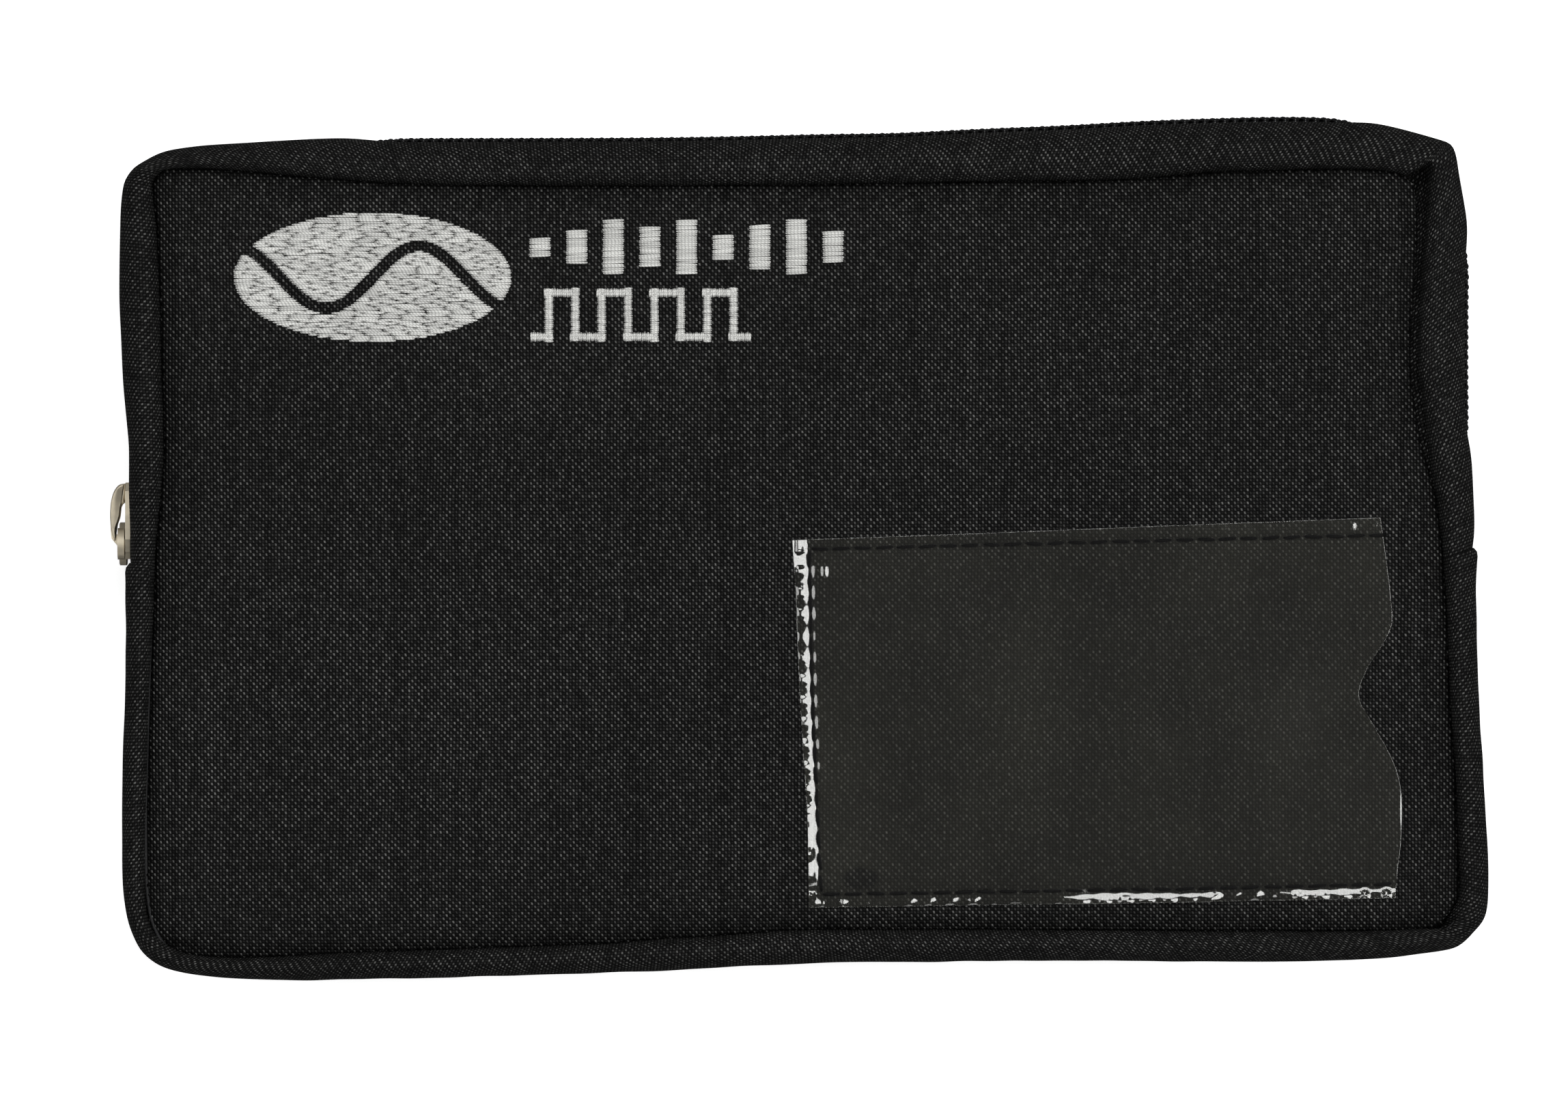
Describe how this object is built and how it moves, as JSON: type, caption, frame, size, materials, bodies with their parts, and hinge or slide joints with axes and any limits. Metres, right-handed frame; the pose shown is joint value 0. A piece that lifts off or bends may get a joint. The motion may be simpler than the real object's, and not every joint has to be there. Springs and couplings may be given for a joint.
{
  "type": "soft zip case for a probe kit",
  "caption": "Soft padded zip case of black woven cloth: coil zipper round the top half, clear card window sewn on the front, raised satin-stitch emblem, empty lined inside.",
  "frame": {"origin": "middle of the flat back face that the case rests on", "axes": "+X along the width, to the right as seen from the front; +Y towards the zipped top edge; +Z out through the printed front"},
  "size_m": [0.2217, 0.1385, 0.0308],
  "materials": {
    "outer_cloth": "black woven polyester",
    "foam": "closed-cell foam padding",
    "lining_cloth": "thin black nylon lining",
    "binding_tape": "black ribbed binding tape",
    "zipper_tape": "black herringbone zipper tape",
    "zipper_coil": "black nylon coil",
    "slider_metal": "nickel-plated zinc alloy",
    "clear_vinyl": "clear flexible vinyl",
    "black_thread": "black polyester thread",
    "silver_thread": "silver-white satin stitch"
  },
  "bodies": {
    "case_body": {"back_foam": "foam", "back_lining": "lining_cloth", "back_panel": "outer_cloth", "back_seam_binding": "binding_tape", "back_zip_lining": "lining_cloth", "back_zip_strip": "outer_cloth", "base_gusset": "outer_cloth", "base_gusset_foam": "foam", "base_gusset_lining": "lining_cloth", "card_window": "clear_vinyl", "front_foam_lower": "foam", "front_lining_lower": "lining_cloth", "front_panel_lower": "outer_cloth", "front_seam_binding_lower": "binding_tape", "front_zip_lining_ends": "lining_cloth", "front_zip_strip_ends": "outer_cloth", "window_stitches": "black_thread", "zipper_bottom_stop": "slider_metal", "zipper_coil_back": "zipper_coil", "zipper_coil_front_ends": "zipper_coil", "zipper_tape_back": "zipper_tape", "zipper_tape_front_ends": "zipper_tape", "zipper_top_stops": "slider_metal"},
    "front_flap": {"embroidered_emblem": "silver_thread", "front_foam_upper": "foam", "front_lining_upper": "lining_cloth", "front_panel_upper": "outer_cloth", "front_seam_binding_upper": "binding_tape", "front_zip_lining": "lining_cloth", "front_zip_strip": "outer_cloth", "zipper_coil_front": "zipper_coil", "zipper_tape_front": "zipper_tape"},
    "zip_slider": {"slider_body": "slider_metal"},
    "pull_tab": {"pull_tab": "slider_metal"}
  },
  "joints": [
    {"name": "flap_fold", "type": "hinge", "parent": "case_body", "child": "front_flap", "pos_m": [0, 0.012, 0.0303], "axis": [1, 0, 0], "range_deg": [0, 110]},
    {"name": "slider_travel", "type": "slide", "parent": "case_body", "child": "zip_slider", "axis": [0, 1, 0], "range_m": [0, 0.043]},
    {"name": "pull_tab_swing", "type": "hinge", "parent": "zip_slider", "child": "pull_tab", "pos_m": [-0.10905, 0.00098, 0.015], "axis": [1, 0, 0], "range_deg": [-85, 40]}
  ]
}
